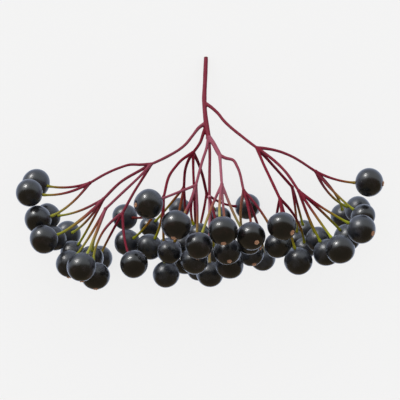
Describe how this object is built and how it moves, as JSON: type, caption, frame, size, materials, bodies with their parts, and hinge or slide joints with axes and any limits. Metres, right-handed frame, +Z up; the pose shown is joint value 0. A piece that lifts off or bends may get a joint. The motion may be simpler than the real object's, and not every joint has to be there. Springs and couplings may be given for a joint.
{
  "type": "elderberry cluster",
  "caption": "Picked flat-topped cluster of ripe black elderberries on a forking crimson stalk, lying on its side.",
  "frame": {"origin": "middle of the whole cluster's box, on the surface that it lies on", "axes": "+X across the spread of the cluster, +Y along the stalk towards its cut end, +Z up from the surface"},
  "size_m": [0.0923, 0.0615, 0.0423],
  "materials": {
    "stem": "smooth crimson stem with a faint sheen, going olive green at the berries",
    "berries": "taut glossy black skin with a thin grey-blue bloom and a small brown scar at the far end"
  },
  "bodies": {
    "root": {"stalk": "stem", "spray_left_tip": "berries", "spray_left_outer": "berries", "spray_left_inner": "berries", "spray_left_under": "berries", "spray_mid_left": "berries", "spray_mid_under": "berries", "spray_mid_inner": "berries", "spray_mid_floor": "berries", "spray_near_left": "berries", "spray_centre": "berries", "spray_near_centre": "berries", "spray_near_right": "berries", "spray_right_inner": "berries", "spray_right_under": "berries", "spray_right_outer": "berries", "spray_right_tip": "berries"}
  },
  "joints": []
}
